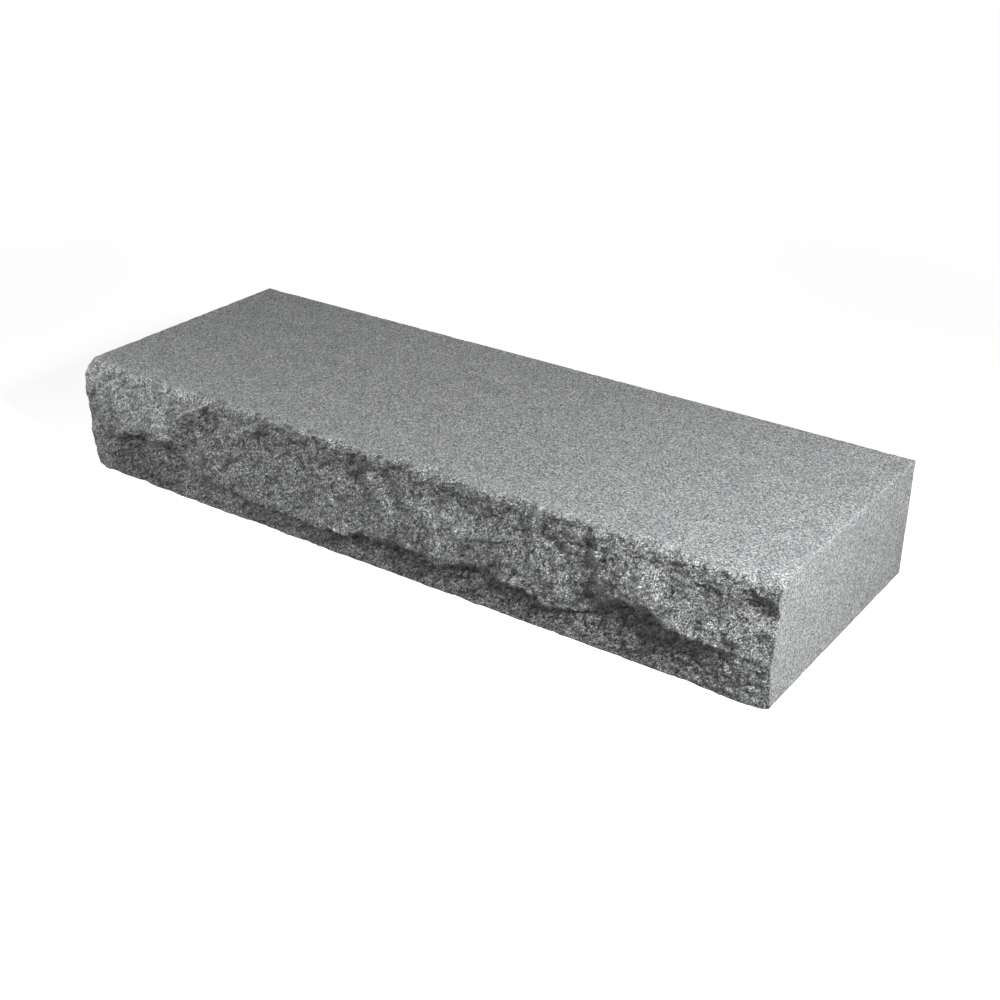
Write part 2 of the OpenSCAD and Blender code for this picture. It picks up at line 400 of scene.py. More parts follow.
def spot(x, z, middle_x, middle_z, half_length, half_height, power):
    """A soft spot on the face, 1 at its middle. Its place and size are in mm. The higher the power,
    the more level it is along the step."""
    along, up = (x / MM - middle_x) / half_length, (z / MM - middle_z) / half_height
    return np.exp(-(along ** power + up ** 2))


def wandering(grid):
    """A grid whose points are moved up and down, so that no lip runs straight."""
    points = grid.reshape(-1, 3)
    shift = sum(
        reach * MM * noise_at(points, width * MM, LIP_NOISE + i)
        for i, (width, reach) in enumerate(WANDER)
    ).reshape(grid.shape[:2])
    x, z = grid[:, :, 0], grid[:, :, 2]
    for *place, drop in LIP_DROPS:
        shift -= drop * MM * spot(x, z, *place, power=4)
    ends = np.minimum(x - LOW.x, HIGH.x - x)
    grid[:, :, 2] += shift * off_rims(z, WANDER_MARGIN) * ramp(ends, 0, WANDER_ENDS)
    return grid


# Knobs of the face that turn to the lamps, lightened as painted highlights: x and z of the middle,
# half length and half height in mm, and how much
HIGHLIT_KNOBS = (
    (-385, 88, 26, 18, 0.8), (-290, 130, 46, 16, 0.9), (-65, 42, 48, 11, 0.7), (0, 52, 40, 12, 0.6),
    (48, 108, 16, 10, 0.5), (92, 62, 24, 10, 0.6), (216, 68, 16, 12, 0.5), (275, 123, 26, 14, 0.5),
    (345, 108, 34, 18, 0.8), (385, 72, 22, 14, 0.5), (480, 92, 16, 17, 0.7),
)


def knobs(x, z):
    """How much painted highlight the face gets at each point, on the knobs that turn to the lamps,
    from 0 to 1.
    """
    white = np.zeros_like(x)
    for *place, share in HIGHLIT_KNOBS:
        white = np.maximum(white, share * spot(x, z, *place, power=2))
    return white


CORNER_WEAR = 8.5 * MM  # how far the right corner of the arris is worn down
CORNER_REACH = 36 * MM  # how far along the arris
CORNER_BACK = 20 * MM   # and back over the tread
CORNER_HEIGHTS = (HIGH.z - 50 * MM, HIGH.z - 8 * MM)  # between which the riser under it gives way


def corner_drop(x, back):
    """How far the worn right corner lies under the tread's plane, at a place along the step and a
    distance back from the arris."""
    return CORNER_WEAR * (1 - ramp(HIGH.x - x, 0, CORNER_REACH)) * (1 - ramp(back, 0, CORNER_BACK))


FRONT_ROOM = 2.5 * MM   # how near the block's foremost plane the relief starts to be held back


def held_in(grid):
    """Keeps a grid inside the block's box. Its foremost knobs are pressed flatter, not cut off."""
    proud = grid[:, :, 1] - LOW.y
    pressed = FRONT_ROOM * np.exp((proud - FRONT_ROOM) / FRONT_ROOM)
    grid[:, :, 1] = LOW.y + np.where(proud < FRONT_ROOM, pressed, proud)
    grid[:, :, 0] = np.clip(grid[:, :, 0], LOW.x, HIGH.x)
    grid[:, :, 2] = np.clip(grid[:, :, 2], LOW.z, HIGH.z)


BRUISED_ENDS = (-300 * MM, -200 * MM)  # where the strong bruise of the arris dies out
BRUISE_LEFT = 0.35      # share of the bruise beyond that
BRUISE_DOWN = (1 * MM, 14 * MM)  # how far down the face it is full, and how far it reaches
# Painted highlight on the left end of the face, out of the lips' shade, up to a line that leans
# right
HIGHLIT_END_LINE = (-445 * MM, -415 * MM)
HIGHLIT_END_LEAN = math.radians(43)
END_HIGHLIGHT_SHARE = 0.9      # how strong the painted highlight is there


def arris_bruise(x):
    """How much the arris was bruised at each place along the step."""
    return np.interp(x, BRUISED_ENDS, (1, BRUISE_LEFT))


RIM_WIDTH = 3 * MM      # along the rim, where the relief turns into the plane of the sawn face
QUIET_WIDTH = 9 * MM    # along the ends and the foot, which the saw left quieter than the arris
QUIET_RELIEF = 0.3      # share of the relief left there
# Reach and number of the chips along the foot, up the left end and up the right end
QUIET_CHIPS = ((12 * MM, 40), (9 * MM, 6), (9 * MM, 8))
QUIET_DEPTH = 0.3       # depth of those chips beside the chip depth
ARRIS_CHIPS = ((14 * MM, 70, 1), (26 * MM, 16, 1.8))  # reach, number and depth along the arris
ARRIS_WEAR = (2.5 * MM, 4.5 * MM)  # how far the arris is worn down at the left and the right
WEAR_TURN = (20 * MM, 60 * MM)  # where the one turns into the other
WEAR_REACH = 9 * MM     # how far down the face, and back over the tread, the wear runs
WEAR_SHARES = (0.7, 0.6)  # the middle of the wear and how much it varies, beside the full wear
WEAR_BENDS = 14 * MM    # width of the bends in it
WEAR_ENDS = 12 * MM     # how far from the ends it fades out
HOLLOW_DEPTH = 1.2 * MM  # relief at which a hollow gets its full painted shade


def broken_face(sizes, rng):
    """The riser's grid with its relief and chips, and each point's whitening, from the bruised
    arris and the painted highlights, and its shelter and hollow, which guide the painted shade.
    """
    grid = wandering(drawn_out(smoothed(traced_face(sizes), FACET_PASSES)))
    sheltered = shelter(grid)
    height = relief(grid, sheltered, sizes, rng)
    normals = grid_normals(grid)
    run = np.linalg.norm(np.diff(grid, axis=1), axis=2).cumsum(1)
    run = np.concatenate([np.zeros((len(grid), 1)), run], 1)
    from_foot, from_head = run, run[:, -1:] - run
    from_end = np.minimum(grid[:, :, 0] - LOW.x, HIGH.x - grid[:, :, 0])
    rim = np.minimum(np.minimum(from_foot, from_head), from_end)
    free = ramp(rim, 0, RIM_WIDTH)
    quiet = 1 - ramp(np.minimum(from_foot, from_end), 0, QUIET_WIDTH)
    height *= 1 - (1 - QUIET_RELIEF) * quiet
    grid = grid + normals * height[..., None] * free[..., None]
    grid[:, :, 1] -= height * (1 - free)
    x, z = grid[:, :, 0], grid[:, :, 2]
    cut = np.zeros_like(x)
    for reach, count, share in ARRIS_CHIPS:
        cut = np.maximum(cut, chips(x, from_head, reach, count, share * sizes.chip_depth, rng))
    edges = ((x, from_foot), (z, x - LOW.x), (z, HIGH.x - x))
    for (along, away), (reach, count) in zip(edges, QUIET_CHIPS):
        cut = np.maximum(cut, chips(along, away, reach, count, QUIET_DEPTH * sizes.chip_depth, rng))
    grid[:, :, 1] += cut
    # The arris is worn round, here more and there less.
    wear = np.interp(x[:, -1], WEAR_TURN, ARRIS_WEAR) * ramp(from_end[:, -1], 0, WEAR_ENDS)
    wear *= WEAR_SHARES[0] + WEAR_SHARES[1] * noise_at(grid[:, -1], WEAR_BENDS, ARRIS_NOISE)
    z -= np.maximum(wear, 0)[:, None] * (1 - ramp(from_head, 0, WEAR_REACH))
    corner = corner_drop(x, grid[:, :, 1] - grid[:, -1:, 1]) * ramp(z, *CORNER_HEIGHTS)
    z -= corner
    held_in(grid)
    whitening = arris_bruise(x) * (1 - ramp(from_head, *BRUISE_DOWN))
    # Painted highlights join the whitening of the bruised arris: the left end out of the lips'
    # shade, and the knobs that turn to the lamps.
    end_highlight = 1 - ramp(x - z / math.tan(HIGHLIT_END_LEAN), *HIGHLIT_END_LINE)
    whitening = np.maximum(whitening, END_HIGHLIGHT_SHARE * end_highlight * (1 - sheltered))
    whitening = np.maximum(whitening, knobs(x, z))
    # Painted shade: the hollows of the relief, and the worn corner whose slope catches more light,
    # are marked to be darkened.
    broken = corner / CORNER_WEAR
    hollow = np.maximum(ramp(-height, 0, HOLLOW_DEPTH), broken)
    return grid, np.stack([whitening * (1 - broken), sheltered, hollow], 2)


class Shell:
    """The block's skin as it grows: its points, each point's wear and painted light, its faces and
    their finishes.
    """

    def __init__(self):
        self.points = []
        self.wear = []
        self.faces = []
        self.finishes = []

    def add_points(self, points, wear=None):
        """Adds rows of points and returns their numbers."""
        first = len(self.points)
        self.points += [tuple(p) for p in points]
        self.wear += [tuple(w) for w in wear] if wear is not None else [(0, 0, 0)] * len(points)
        return list(range(first, len(self.points)))

    def add_faces(self, faces, finish):
        """Adds faces of one finish, each as the numbers of its points."""
        self.faces += faces
        self.finishes += [finish] * len(faces)


def add_grid(shell, lines, finish):
    """Adds the squares between neighbouring lines of points."""
    for line, after in zip(lines, lines[1:]):
        shell.add_faces(
            [(line[k], after[k], after[k + 1], line[k + 1]) for k in range(len(line) - 1)], finish,
        )


EDGE_STEP = 4 * MM      # between points along a worn edge
EDGE_CHIP = 1.6 * MM    # deepest chip in a worn edge
EDGE_CHIP_REACH = 7 * MM  # half length of the longest chip
EDGE_CHIP_GAP = 25 * MM  # from chip to chip, on average
EDGE_ROUGH = 0.25 * MM  # how far an edge is worn between its chips, at the most
EDGE_FADE = 4           # points over which the wear starts at either end of an edge
EDGE_SHARE = 0.45       # share of both faces' wear that the middle of the edge takes


def worn_edge(shell, start, end, first_in, second_in, finish, rng):
    """Adds a worn edge between two flat faces and returns its outer lines of points.

    Start and end each hold three points: on the first face, on the middle of the edge and on the
    second face. First_in and second_in point from the edge into each face.
    """
    first_in, second_in = np.array(first_in), np.array(second_in)
    a = np.array([shell.points[i] for i in start])
    b = np.array([shell.points[i] for i in end])
    upright = abs(b[1][2] - a[1][2]) > (HIGH.z - LOW.z) / 2
    steps = max(2, round(np.linalg.norm(b[1] - a[1]) / EDGE_STEP))
    share = np.linspace(0, 1, steps + 1)[1:-1]
    run = share * np.linalg.norm(b[1] - a[1])
    fade = np.minimum(1, np.minimum(share, 1 - share) * steps / EDGE_FADE)
    count = max(2, int(run[-1] / EDGE_CHIP_GAP))
    chipped = chips(run, run * 0, EDGE_CHIP_REACH, count, EDGE_CHIP, rng)
    wear = fade * (chipped + rng.uniform(0, EDGE_ROUGH, len(run)))
    moves = (first_in, (first_in + second_in) * EDGE_SHARE, second_in)
    lines = []
    for k, move in enumerate(moves):
        line = a[k] + (b[k] - a[k]) * share[:, None] + move * wear[:, None]
        if not upright:
            # A worn corner at the start comes back up to the edge's own height.
            line[:, 2] += (b[k][2] - a[k][2]) * (ramp(run, 0, CORNER_BACK) - share)
        lines.append([start[k], *shell.add_points(line), end[k]])
    add_grid(shell, lines, finish)
    return lines[0], lines[2]


def inside_loop(points, loop):
    """Which points lie inside a closed loop, both in the plane."""
    x, y = points[:, :1], points[:, 1:]
    ax, ay = loop.T
    bx, by = np.roll(loop, -1, 0).T
    crosses = (ay > y) != (by > y)
    rise = np.where(by == ay, 1, by - ay)
    at = ax + (y - ay) * (bx - ax) / rise
    return (crosses & (x < at)).sum(1) % 2 == 1


LATTICE_JITTER = 0.22   # how far an inner point lies off its lattice, in spacings
LATTICE_ROOM = 0.6      # how far the inner points keep from the rim, in spacings
INSIDE_ONLY = 1         # the triangles that are kept are those inside the rim
TOUCHING = 1e-9         # distance at which two points are one


def flat_face(shell, loop, axes, level, spacing, finish, rng, sag=None):
    """Fills a closed loop of points with triangles, on points about spacing apart.

    Axes are the two axes that the face lies in, and level is its place on the third. Sag moves the
    inner points into the block and gives their wear and painted shade.
    """
    rim = np.array([shell.points[i] for i in loop])
    outline = rim[:, axes]
    low, high = outline.min(0), outline.max(0)
    row_gap = spacing * math.sqrt(3) / 2
    rows = np.arange(low[1], high[1], row_gap)
    lattice = np.array([
        (x, y)
        for k, y in enumerate(rows)
        for x in np.arange(low[0] + k % 2 * spacing / 2, high[0], spacing)
    ])
    lattice += rng.uniform(-LATTICE_JITTER, LATTICE_JITTER, lattice.shape) * spacing
    lattice = lattice[inside_loop(lattice, outline)]
    tree = plane_tree(outline)
    gaps = np.array([tree.find((*p, 0))[2] for p in lattice])
    lattice = lattice[gaps > LATTICE_ROOM * spacing]
    flat = [Vector(p) for p in np.concatenate([outline, lattice])]
    edges = [(i, (i + 1) % len(loop)) for i in range(len(loop))]
    _, _, faces, origins, _, _ = delaunay_2d_cdt(flat, edges, [], INSIDE_ONLY, TOUCHING)
    inner = np.full((len(lattice), 3), level)
    inner[:, axes] = lattice
    wear = None
    if sag:
        inner, wear = sag(inner)
    numbers = loop + shell.add_points(inner, wear)
    at = [numbers[origin[0]] for origin in origins]
    shell.add_faces([tuple(at[i] for i in face) for face in faces], finish)


BRUISE_REACH = 12 * MM  # how far the bruise of the pitching tool runs back over the tread
TREAD_BRUISE = 0.45     # how strong it is there beside the riser's
TREAD_DIPS = 0.12 * MM  # depth of the shallow dips that flaming leaves in the tread
DIP_WIDTH = 30 * MM     # across one of them
TREAD_POPS = 0.15 * MM  # how deep the skin popped off at the most, from point to point
TREAD_WEAR = 0.5        # share of the arris's wear that the tread behind it takes


def tread_sag(arris, rng):
    """Returns a function that gives the tread's inner points their flamed unevenness, the whitening
    of the bruised arris, and the painted shade of the worn corner.
    """
    order = np.argsort(arris[:, 0])
    run, line, height = arris[order].T

    def sag(points):
        from_arris = points[:, 1] - np.interp(points[:, 0], run, line)
        uneven = TREAD_DIPS * (1 + noise_at(points, DIP_WIDTH, TREAD_NOISE))
        uneven += rng.uniform(0, TREAD_POPS, len(points))
        worn = HIGH.z - np.interp(points[:, 0], run, height) - corner_drop(points[:, 0], 0)
        points[:, 2] -= uneven + TREAD_WEAR * worn * (1 - ramp(from_arris, 0, WEAR_REACH))
        corner = corner_drop(points[:, 0], from_arris)
        points[:, 2] -= corner
        # Painted shade on the worn corner, against the light that its slope catches.
        broken = corner / CORNER_WEAR
        whitening = arris_bruise(points[:, 0]) * (1 - ramp(from_arris, 0, BRUISE_REACH)) * (1 - broken)
        return points, np.column_stack([TREAD_BRUISE * whitening, whitening * 0, broken])

    return sag


def corner_points(shell, side, top, ease):
    """Adds the seven points of a worn back corner: on the flat face, the end and the back, the
    middles of their three edges, and the corner itself."""
    mid, tip = EDGE_MIDDLE * ease, CORNER_TIP * ease
    x = LOW.x if side < 0 else HIGH.x
    z = HIGH.z if top else LOW.z
    down = -1 if top else 1
    insets = {
        "flat": (ease, ease, 0), "end": (0, ease, ease), "back": (ease, 0, ease),
        "flat_end": (mid, ease, mid), "end_back": (mid, mid, ease), "flat_back": (ease, mid, mid),
        "tip": (tip, tip, tip),
    }
    points = [(x - side * a, HIGH.y - b, z + down * c) for a, b, c in insets.values()]
    return dict(zip(insets, shell.add_points(points)))


def block_shell(sizes):
    """The whole skin of the block."""
    rng = np.random.default_rng(sizes.seed)
    ease = sizes.edge_ease
    grid, wear = broken_face(sizes, rng)
    shell = Shell()
    numbers = np.array(shell.add_points(grid.reshape(-1, 3), wear.reshape(-1, 3)))
    numbers = numbers.reshape(grid.shape[:2]).tolist()
    add_grid(shell, numbers, ROCK_PITCHED)
    corners = {
        (side, top): corner_points(shell, side, top, ease) for side in (-1, 1) for top in (0, 1)
    }
    for corner in corners.values():
        ring = [corner[k] for k in ("flat", "flat_end", "end", "end_back", "back", "flat_back")]
        shell.add_faces([(ring[k], ring[(k + 1) % 6], corner["tip"]) for k in range(6)], FLAMED)

    inward = {0: (0, 0, 1), 1: (0, 0, -1)}  # into the block from the bed and from the tread
    finish = {0: SAWN, 1: FLAMED}
    lines = {}
    for (side, top), corner in corners.items():
        # From the riser back along each end, between the tread or the bed and the end
        stations = (2, 1, 0) if side < 0 else (-3, -2, -1)
        start = [numbers[s][-1 if top else 0] for s in stations]
        end = [corner["flat"], corner["flat_end"], corner["end"]]
        lines[side, top] = worn_edge(
            shell, start, end, (-side, 0, 0), inward[top], finish[top], rng,
        )
    for top in (0, 1):
        # Along the back, between the tread or the bed and the back
        names = ("flat", "flat_back", "back")
        start, end = ([corners[side, top][k] for k in names] for side in (1, -1))
        lines["back", top] = worn_edge(
            shell, start, end, (0, -1, 0), inward[top], finish[top], rng,
        )
    for side in (-1, 1):
        # Up the back corner of each end
        names = ("end", "end_back", "back")
        start, end = ([corners[side, top][k] for k in names] for top in (0, 1))
        lines[side, "back"] = worn_edge(
            shell, start, end, (0, -1, 0), (-side, 0, 0), FLAMED, rng,
        )

    arris = [column[-1] for column in numbers[2:-2]]
    foot = [column[0] for column in numbers[2:-2]]
    for top, front in ((1, arris), (0, foot)):
        left, right, back = lines[-1, top][0], lines[1, top][0], lines["back", top][0]
        loop = front + right[1:] + back[1:] + left[::-1][1:-1]
        if top:
            sag = tread_sag(np.array([shell.points[i] for i in arris]), rng)
            flat_face(shell, loop, [0, 1], HIGH.z, sizes.tread_spacing, FLAMED, rng, sag)
        else:
            flat_face(shell, loop, [0, 1], LOW.z, sizes.bed_spacing, SAWN, rng)
    for side, column in ((-1, numbers[0]), (1, numbers[-1])):
        high, low, back = lines[side, 1][1], lines[side, 0][1], lines[side, "back"][0]
        loop = column + high[1:] + back[::-1][1:] + low[::-1][1:-1]
        flat_face(shell, loop, [1, 2], side * HIGH.x, sizes.tread_spacing, FLAMED, rng)
    back = (
        lines["back", 1][1] + lines[-1, "back"][1][::-1][1:]
        + lines["back", 0][1][::-1][1:] + lines[1, "back"][1][1:-1]
    )
    flat_face(shell, back, [0, 2], HIGH.y, sizes.bed_spacing, SAWN, rng)
    return shell


def add_object(name, data):
    """Adds an object with its data to the scene."""
    made = bpy.data.objects.new(name, data)
    bpy.context.scene.collection.objects.link(made)
    return made


def block_mesh(sizes):
    """The block's mesh, with its finishes as material numbers, and as an attribute its wear with
    the painted highlights and the marks of painted shade.
    """
    shell = block_shell(sizes)
    mesh = bpy.data.meshes.new("granite_block")
    mesh.from_pydata(shell.points, [], shell.faces)
    mesh.polygons.foreach_set("material_index", shell.finishes)
    wear = mesh.attributes.new("wear", "FLOAT_COLOR", "POINT")
    wear.data.foreach_set("color", [c for w in shell.wear for c in (*w, 1)])
    skin = bmesh.new()
    skin.from_mesh(mesh)
    bmesh.ops.recalc_face_normals(skin, faces=skin.faces)
    open_edges = [e for e in skin.edges if len(e.link_faces) != 2]
    skin.to_mesh(mesh)
    skin.free()
    if open_edges:
        raise ValueError(f"the block's skin has {len(open_edges)} open edges")
    mesh.shade_smooth()
    return mesh


# ---- The finishes ----


def add(tree, kind, inputs=None, **settings):
    """Adds a shader node with its settings, and sets or links its inputs by name or number.

    An input that is given a whole node is linked to the node's first output.
    """
    made = tree.nodes.new("ShaderNode" + kind)
    for name, value in settings.items():
        setattr(made, name, value)
    for name, value in (inputs or {}).items():
        if isinstance(value, bpy.types.Node):
            value = value.outputs[0]
        if isinstance(value, bpy.types.NodeSocket):
            tree.links.new(value, made.inputs[name])
        else:
            made.inputs[name].default_value = value
    return made


def new_material(name):
    """A material without nodes, and its node tree."""
    material = bpy.data.materials.new(name)
    material.use_nodes = True
    material.node_tree.nodes.clear()
    return material, material.node_tree


def finish_material(tree, shade, height, strength, depth, roughness):
    """Ends a material with granite's shader, roughened by a bump. Granite is a dielectric, so its
    IOR is about 1.55."""
    bump = add(tree, "Bump", {"Strength": strength, "Distance": depth, "Height": height})
    shader = add(tree, "BsdfPrincipled", {
        "Base Color": shade, "Roughness": roughness, "IOR": 1.55, "Normal": bump,
    })
    add(tree, "OutputMaterial", {0: shader})


MINERAL_SHARES = (0.11, 0.31, 0.38, 0.20)  # of biotite, quartz, plagioclase and feldspar
OUTLINE_BEND = 0.7      # how far the crystals' outlines are bent, in crystals
FLAKES = 2.1            # flakes and cleavages across one crystal
FLAKE_TONES = (0.82, 0.36)  # lightness of the darkest flake, and how much lighter the lightest is
CLOUD_WIDTH = 30 * MM   # across the faint clouds in the stone's lightness
CLOUD_TONES = (0.80, 0.40)  # the same two values for them


def minerals(tree, colours, contrast):
    """The granite's crystals: their colour, two numbers for each, and the place they are read at.

    Four minerals make up the stone, each crystal one of them. Contrast below 1 draws the crystals
    towards their common grey, as a layer of dust or crushed grains does.
    """
    place = add(tree, "TexCoord").outputs["Object"]
    # Crystals grow into each other, so their outlines are bent by noise as wide as a grain.
    bend = add(tree, "TexNoise", {"Vector": place, "Scale": 1 / colours.grain, "Detail": 1})
    bent = add(tree, "VectorMath", {
        0: bend.outputs["Color"], 1: (OUTLINE_BEND * colours.grain,) * 3, 2: place,
    }, operation="MULTIPLY_ADD")
    crystals = add(tree, "TexVoronoi", {"Vector": bent, "Scale": 1 / colours.grain})
    numbers = add(tree, "SeparateColor", {0: crystals.outputs["Color"]})
    kinds = (colours.biotite, colours.quartz, colours.plagioclase, colours.feldspar)
    picked = add(tree, "ValToRGB", {0: numbers})
    stops = picked.color_ramp
    stops.interpolation = "CONSTANT"
    while len(stops.elements) < len(kinds):
        stops.elements.new(0.5)
    for k, (stop, kind) in enumerate(zip(stops.elements, kinds)):
        stop.position = sum(MINERAL_SHARES[:k])
        stop.color = (*kind, 1)
    flakes = add(tree, "TexVoronoi", {"Vector": bent, "Scale": FLAKES / colours.grain})
    flake = add(tree, "SeparateColor", {0: flakes.outputs["Color"]})
    clouds = add(tree, "TexNoise", {"Vector": place, "Scale": 1 / CLOUD_WIDTH, "Detail": 2})
    tone = add(tree, "Math", {
        0: flake, 1: FLAKE_TONES[1], 2: FLAKE_TONES[0],
    }, operation="MULTIPLY_ADD")
    cloud = add(tree, "Math", {
        0: clouds, 1: CLOUD_TONES[1], 2: CLOUD_TONES[0],
    }, operation="MULTIPLY_ADD")
    both = add(tree, "Math", {0: tone, 1: cloud}, operation="MULTIPLY")
    toned = add(tree, "VectorMath", {0: picked, "Scale": both}, operation="SCALE")
    grey = [sum(a * b for a, b in zip(MINERAL_SHARES, channel)) for channel in zip(*kinds)]
    shown = add(tree, "Mix", {"Factor": contrast, 6: (*grey, 1), 7: toned}, data_type="RGBA")
    return shown.outputs[2], numbers.outputs[1], numbers.outputs[2], place


WHITENED_SHARE = 0.48    # share of the crystals whitened where the whitening, from bruising and painted highlight, is full


def whitened_crystals(tree, colours, shade, number):
    """The crystals' colour with the crushed ones white, along the bruised arris and where
    highlights are painted, and the whitening, shelter and hollow.

    Bruised crystals are crushed one by one, so the bruise covers some and misses others.
    """
    wear = add(tree, "Attribute", attribute_name="wear")
    parts = add(tree, "SeparateColor", {0: wear})
    share = add(tree, "Math", {0: parts, 1: WHITENED_SHARE}, operation="MULTIPLY")
    crushed = add(tree, "Math", {0: share, 1: number}, operation="GREATER_THAN")
    whitened = add(tree, "Mix", {
        "Factor": crushed, 6: shade, 7: (*colours.whitening, 1),
    }, data_type="RGBA")
    return whitened.outputs[2], parts.outputs[0], parts.outputs[1], parts.outputs[2]


BROKEN_CONTRAST = 1.0   # contrast of the crystals on a broken face
BROKEN_TONE = 1.03      # their lightness beside those of a flamed face
WHITENING_GAIN = 0.18     # how much lighter they are where the tool crushed them flat, and under the painted highlights
HOLLOW_SHADE = 0.5       # painted shade: how much darker they are in a hollow and on the worn corner
CRYSTAL_SHADE_RANGE = 1.3        # how much painted shade and highlight vary from crystal to crystal with the way each leans
LIP_SHADE_SHARE = 0.40       # how strong the painted shade is under the lips where they overhang most
SHADOW_SPECK_WIDTH = 2.8 * MM    # across a painted shadow speck: about two crystals, the finest that still shows
SHADOW_SPECK_STRETCH = 2.4       # how much longer a painted shadow speck is along the ribs than across them
SHADOW_SPECK_LEVELS = (0.34, 0.52)  # noise at the darkest of a painted shadow speck, and at its edge
BESIDE_SHADOW_SPECKS = 1.06          # lightness of the stone beside the painted shadow specks
SHADOW_SPECK_DARK = 0.58         # how much darker a painted shadow speck is at its darkest
SHELTERED_SPECK_SHADE = 0.42    # how much darker still it is under a lip, as painted shade
SPLINTER = 1.4 * MM     # across the splinters that roughen a broken crystal
CRYSTAL_STEP = 0.6      # height of one crystal over the next, beside that of the splinters


def rock_pitched_granite(colours, slope):
    """Split with a pitching tool: crystals broken through or pulled out, so each one catches the
    light at its own angle, painted as lighter and darker crystals. Crushed white along the top
    arris, with painted highlights on the left end and knobs, painted shadow specks, and painted
    shade under the lips and in the hollows."""
    material, tree = new_material("rock_pitched_granite")
    shade, number, lean, place = minerals(tree, colours, BROKEN_CONTRAST)
    whitened, whitening, sheltered, hollow = whitened_crystals(tree, colours, shade, number)
    # Lighter where the arris was bruised and where highlights are painted.
    crushed = add(tree, "Math", {
        0: whitening, 1: WHITENING_GAIN, 2: BROKEN_TONE,
    }, operation="MULTIPLY_ADD")
    # Painted shade in the hollows of the relief and on the worn corner.
    tone_with_painted_shade = add(tree, "Math", {0: hollow, 1: -HOLLOW_SHADE, 2: crushed}, operation="MULTIPLY_ADD")
    # Painted shade and highlight: each broken crystal leans its own way, so it is painted a little
    # lighter or darker than the next one.
    crystal_shade = add(tree, "Math", {
        0: lean, 1: CRYSTAL_SHADE_RANGE, 2: 1 - CRYSTAL_SHADE_RANGE / 2,
    }, operation="MULTIPLY_ADD")
    # Painted shadows: small dark specks drawn out along the ribs, the way the key lamp's shadows
    # run, and darker still under a lip as painted shade.
    turned = add(tree, "VectorRotate", {"Vector": place, "Angle": slope}, rotation_type="Y_AXIS")
    drawn = add(tree, "VectorMath", {0: turned, 1: (1 / SHADOW_SPECK_STRETCH, 1, 1)}, operation="MULTIPLY")
    shadow_specks = add(tree, "TexNoise", {"Vector": drawn, "Scale": 1 / SHADOW_SPECK_WIDTH, "Detail": 2})
    darkest = add(tree, "Math", {
        0: sheltered, 1: -SHELTERED_SPECK_SHADE, 2: 1 - SHADOW_SPECK_DARK,
    }, operation="MULTIPLY_ADD")
    speck_shaded = add(tree, "MapRange", {
        "Value": shadow_specks, "From Min": SHADOW_SPECK_LEVELS[0], "From Max": SHADOW_SPECK_LEVELS[1],
        "To Min": darkest, "To Max": BESIDE_SHADOW_SPECKS,
    })
    tilted = add(tree, "Math", {0: crystal_shade, 1: speck_shaded}, operation="MULTIPLY")
    level = add(tree, "Math", {0: tone_with_painted_shade, 1: tilted}, operation="MULTIPLY")
    darkened = add(tree, "VectorMath", {0: whitened, "Scale": level}, operation="SCALE")
    # Painted shade under the lips, slightly warm, growing with how far the face lies sheltered.
    lip_shade = add(tree, "Math", {0: sheltered, 1: LIP_SHADE_SHARE}, operation="MULTIPLY")
    lip_shaded = add(tree, "Mix", {
        "Factor": lip_shade, 6: darkened, 7: (*colours.lip_shade_tint, 1),
    }, data_type="RGBA", blend_type="MULTIPLY")
    splinters = add(tree, "TexNoise", {"Vector": place, "Scale": 1 / SPLINTER, "Detail": 2})
    height = add(tree, "Math", {0: number, 1: CRYSTAL_STEP, 2: splinters}, operation="MULTIPLY_ADD")
    finish_material(tree, lip_shaded.outputs[2], height, strength=0.9, depth=1.2 * MM, roughness=0.75)
    return material


FLAMED_CONTRAST = 0.91  # contrast of the crystals on a flamed face, where their skin is crazed
POP_WIDTH = 2.2 * MM    # across the small hollow that a popped crystal leaves


def flamed_granite(colours):
    """Sawn and then flamed: the torch pops crystals off the skin, which leaves a fine even
    roughness and a matt, slightly paler stone."""
    material, tree = new_material("flamed_granite")
    shade, number, _, place = minerals(tree, colours, FLAMED_CONTRAST)
    whitened, _, _, hollow = whitened_crystals(tree, colours, shade, number)
    # Where the corner broke away, painted shade makes the stone as dark as in the riser's hollows,
    # against the light that its slope catches.
    tone_with_painted_shade = add(tree, "Math", {0: hollow, 1: -HOLLOW_SHADE, 2: 1}, operation="MULTIPLY_ADD")
    darkened = add(tree, "VectorMath", {0: whitened, "Scale": tone_with_painted_shade}, operation="SCALE")
    pops = add(tree, "TexNoise", {"Vector": place, "Scale": 1 / POP_WIDTH, "Detail": 2})
    finish_material(tree, darkened, pops, strength=0.5, depth=0.5 * MM, roughness=0.8)
    return material


SAWN_CONTRAST = 0.75    # contrast of the crystals on a sawn face, under the dried slurry
SAW_PITCH = 8 * math.pi * MM  # between saw lines, about 25 mm
WAVE_TURN = 20          # radians of a wave texture's wave in one of its units


def sawn_granite(colours):
    """Cut with a diamond blade: flat and close, with faint straight saw lines across it."""
    material, tree = new_material("sawn_granite")
    shade, _, _, place = minerals(tree, colours, SAWN_CONTRAST)
    lines = add(tree, "TexWave", {
        "Vector": place, "Scale": 2 * math.pi / (WAVE_TURN * SAW_PITCH),
        "Distortion": 1.5, "Detail": 2,
    }, bands_direction="X")
    finish_material(
        tree, shade, lines.outputs["Fac"], strength=0.4, depth=0.3 * MM, roughness=0.6,
    )
    return material


# ---- The stage ----


